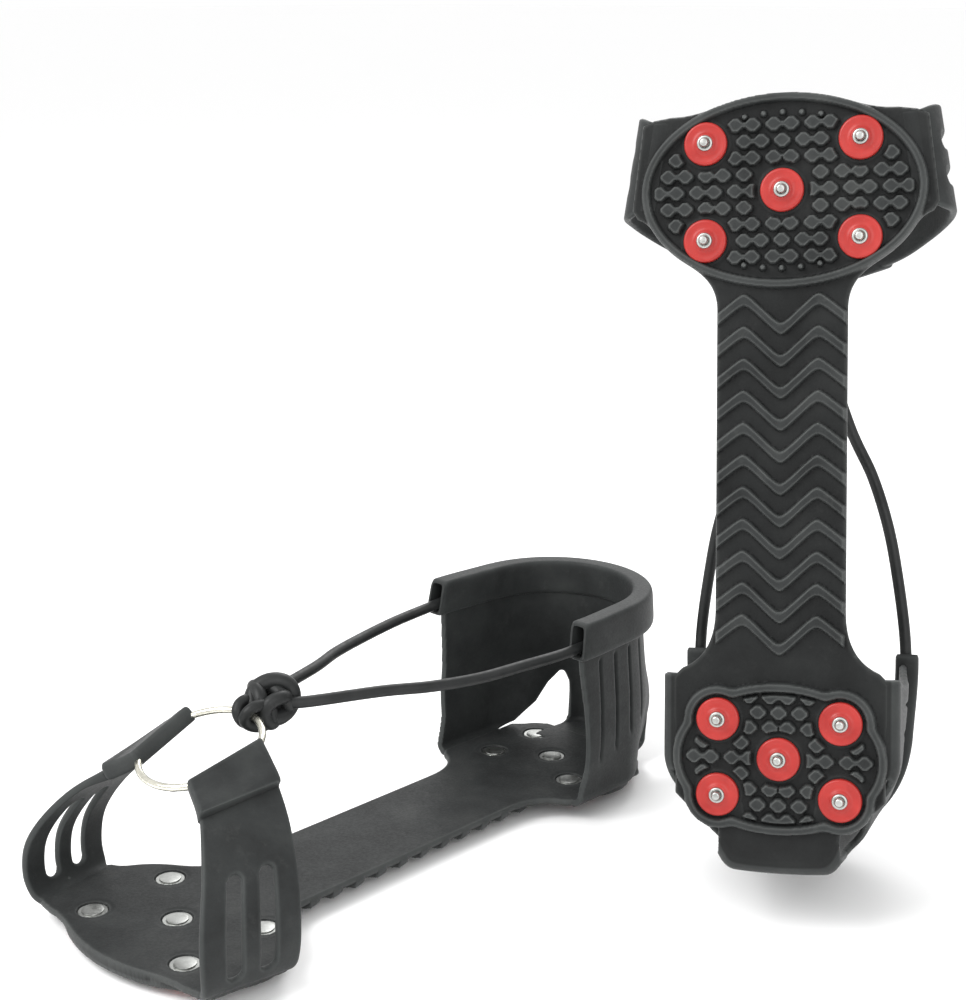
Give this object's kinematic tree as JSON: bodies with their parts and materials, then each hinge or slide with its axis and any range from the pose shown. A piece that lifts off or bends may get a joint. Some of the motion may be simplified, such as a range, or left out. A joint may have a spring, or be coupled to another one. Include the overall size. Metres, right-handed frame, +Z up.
{
  "type": "shoe ice cleats",
  "caption": "Pair of slip-on rubber ice cleats: studded forefoot and heel pads, ribbed bridge, instep straps held by a steel ring, elastic cord and heel cup.",
  "frame": {"origin": "the ground under the centre stud of the forefoot pad of the lying (left) cleat: the tip of that stud's pin", "axes": "+Z up; the lying cleat's toe points along -Y and its heel along +Y; +X is its outer side. The standing (right) cleat is turned 27 degrees about Z, stands on the edge of its heel cup and shows its sole."},
  "size_m": [0.2701, 0.3294, 0.3262],
  "materials": {
    "sole_rubber": "matte moulded rubber, dark grey",
    "strap_rubber": "matte moulded rubber with a faint sheen",
    "cord": "satin black elastic cord",
    "disc_plastic": "satin red moulded plastic",
    "stud_steel": "zinc-plated, slightly scuffed",
    "ring_steel": "nickel-plated wire, satin"
  },
  "bodies": {
    "left_forefoot": {"left_forefoot_sole": "sole_rubber", "left_forefoot_discs": "disc_plastic", "left_forefoot_collars": "stud_steel", "left_forefoot_pins": "stud_steel", "left_forefoot_washers": "stud_steel", "left_cord_outer": "cord", "left_cord_inner": "cord"},
    "left_heel": {"left_heel_sole": "sole_rubber", "left_heel_discs": "disc_plastic", "left_heel_collars": "stud_steel", "left_heel_pins": "stud_steel", "left_heel_washers": "stud_steel"},
    "left_instep": {"left_strap_outer": "strap_rubber", "left_strap_inner": "strap_rubber", "left_knot": "cord"},
    "left_ring_body": {"left_ring": "ring_steel"},
    "left_cup": {"left_heel_cup": "strap_rubber", "left_cord_heel_run": "cord"},
    "right_forefoot": {"right_forefoot_sole": "sole_rubber", "right_forefoot_discs": "disc_plastic", "right_forefoot_collars": "stud_steel", "right_forefoot_pins": "stud_steel", "right_forefoot_washers": "stud_steel", "right_cord_outer": "cord", "right_cord_inner": "cord"},
    "right_heel": {"right_heel_sole": "sole_rubber", "right_heel_discs": "disc_plastic", "right_heel_collars": "stud_steel", "right_heel_pins": "stud_steel", "right_heel_washers": "stud_steel"},
    "right_instep": {"right_strap_outer": "strap_rubber", "right_strap_inner": "strap_rubber", "right_knot": "cord"},
    "right_ring_body": {"right_ring": "ring_steel"},
    "right_cup": {"right_heel_cup": "strap_rubber", "right_cord_heel_run": "cord"}
  },
  "joints": [
    {"name": "left_sole_flex", "type": "hinge", "parent": "left_forefoot", "child": "left_heel", "pos_m": [0, 0.12, 0.0095], "axis": [1, 0, 0], "range_deg": [-8, 40], "deforming": ["left_cord_outer", "left_cord_inner"]},
    {"name": "left_instep_lean", "type": "hinge", "parent": "left_forefoot", "child": "left_instep", "pos_m": [0, -0.01, 0.0095], "axis": [-1, 0, 0], "range_deg": [-12, 12], "deforming": ["left_strap_outer", "left_strap_inner", "left_cord_outer", "left_cord_inner"]},
    {"name": "left_ring_turn", "type": "hinge", "parent": "left_instep", "child": "left_ring_body", "pos_m": [0, 0.015, 0.0775], "axis": [0, -0.2924, 0.9563], "continuous": true},
    {"name": "left_heel_pull", "type": "hinge", "parent": "left_heel", "child": "left_cup", "pos_m": [0, 0.2536, 0.0095], "axis": [-1, 0, 0], "range_deg": [0, 18], "deforming": ["left_cord_outer", "left_cord_inner"]},
    {"name": "right_sole_flex", "type": "hinge", "parent": "right_forefoot", "child": "right_heel", "pos_m": [0.14486, 0.19385, 0.17144], "axis": [0.8817, 0.4672, 0.0661], "range_deg": [-8, 40], "deforming": ["right_cord_outer", "right_cord_inner"]},
    {"name": "right_instep_lean", "type": "hinge", "parent": "right_forefoot", "child": "right_instep", "pos_m": [0.12314, 0.21701, 0.2975], "axis": [-0.8817, -0.4672, -0.0661], "range_deg": [-12, 12], "deforming": ["right_strap_outer", "right_strap_inner", "right_cord_outer", "right_cord_inner"]},
    {"name": "right_ring_turn", "type": "hinge", "parent": "right_instep", "child": "right_ring_body", "pos_m": [0.09731, 0.27144, 0.25727], "axis": [-0.4708, 0.8803, 0.0586], "continuous": true},
    {"name": "right_heel_pull", "type": "hinge", "parent": "right_heel", "child": "right_cup", "pos_m": [0.16719, 0.17005, 0.04188], "axis": [-0.8817, -0.4672, -0.0661], "range_deg": [0, 18], "deforming": ["right_cord_outer", "right_cord_inner"]},
    {"name": "right_tip", "type": "hinge", "parent": "left_forefoot", "child": "right_forefoot", "pos_m": [0.15634, 0.19155, 0.03462], "axis": [0.891, 0.454, 0], "range_deg": [0, 103.6]}
  ]
}
